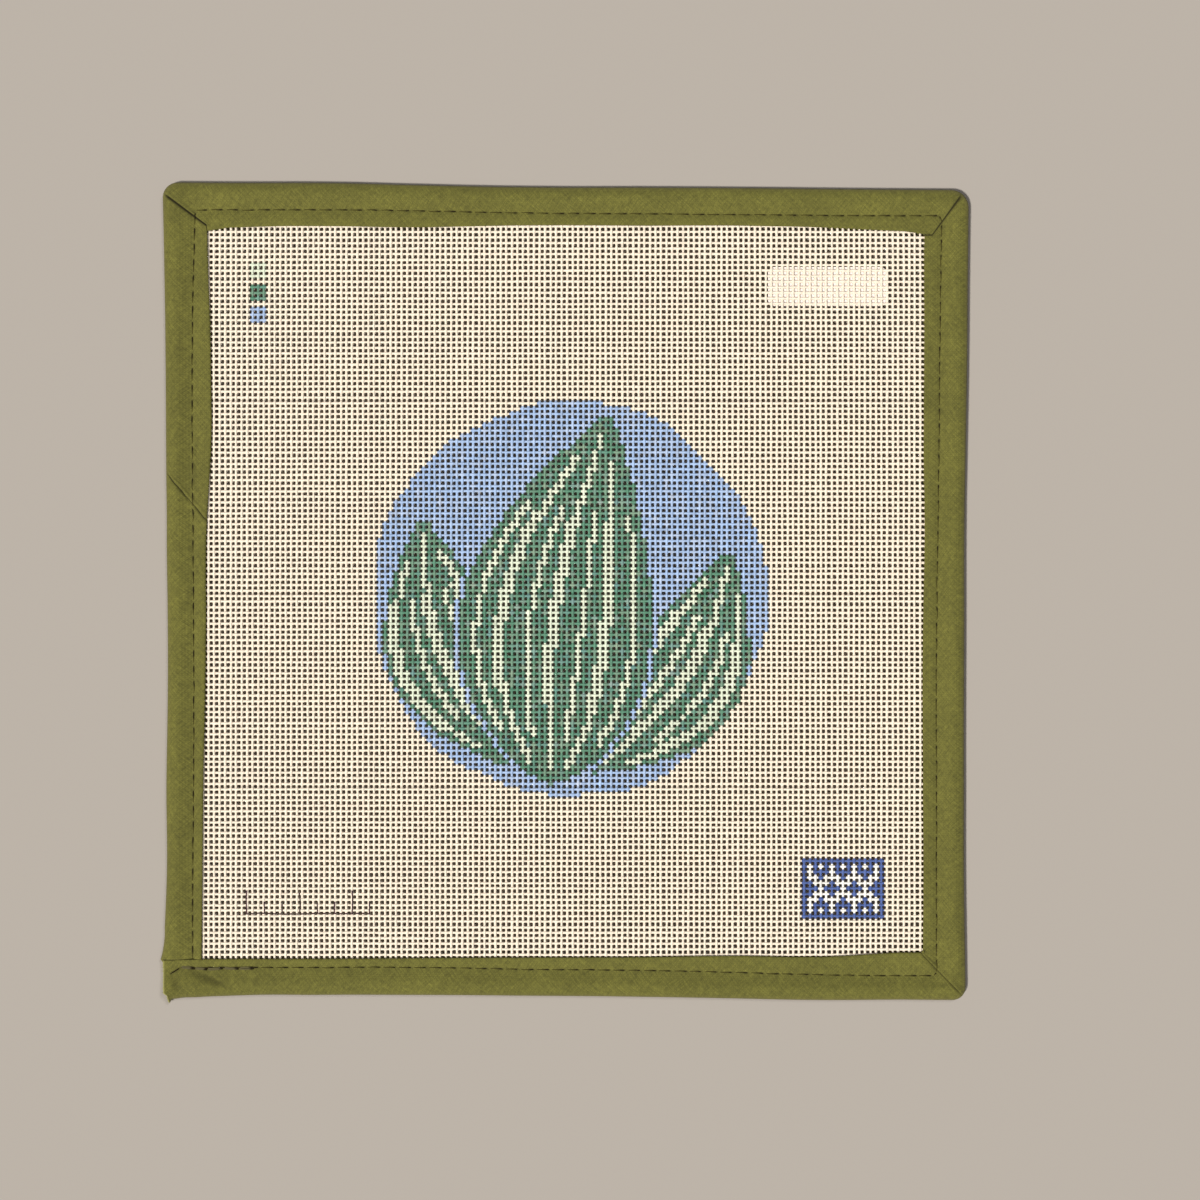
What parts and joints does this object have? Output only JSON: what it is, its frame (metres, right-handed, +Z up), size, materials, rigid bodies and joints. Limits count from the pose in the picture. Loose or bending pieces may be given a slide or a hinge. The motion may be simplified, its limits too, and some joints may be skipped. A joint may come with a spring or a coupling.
{
  "type": "needlepoint canvas panel with a bound edge",
  "caption": "Square open-weave embroidery canvas lying flat, its edges bound with mitred folded tape, with a blank sticker behind one corner.",
  "frame": {"origin": "middle of the panel's underside, on the surface it lies on", "axes": "+Z up through the thin panel, +Y to the top edge of the design, +X to its right edge"},
  "size_m": [0.2066, 0.2099, 0.003],
  "materials": {
    "canvas_thread": "sized cotton threads, cream white, matt",
    "binding_tape": "smooth olive green cotton, cut on the bias",
    "label_paper": "plain off-white paper sticker, matt"
  },
  "bodies": {
    "root": {"canvas": "canvas_thread", "binding_start": "binding_tape", "binding_main": "binding_tape", "back_label": "label_paper"}
  },
  "joints": []
}
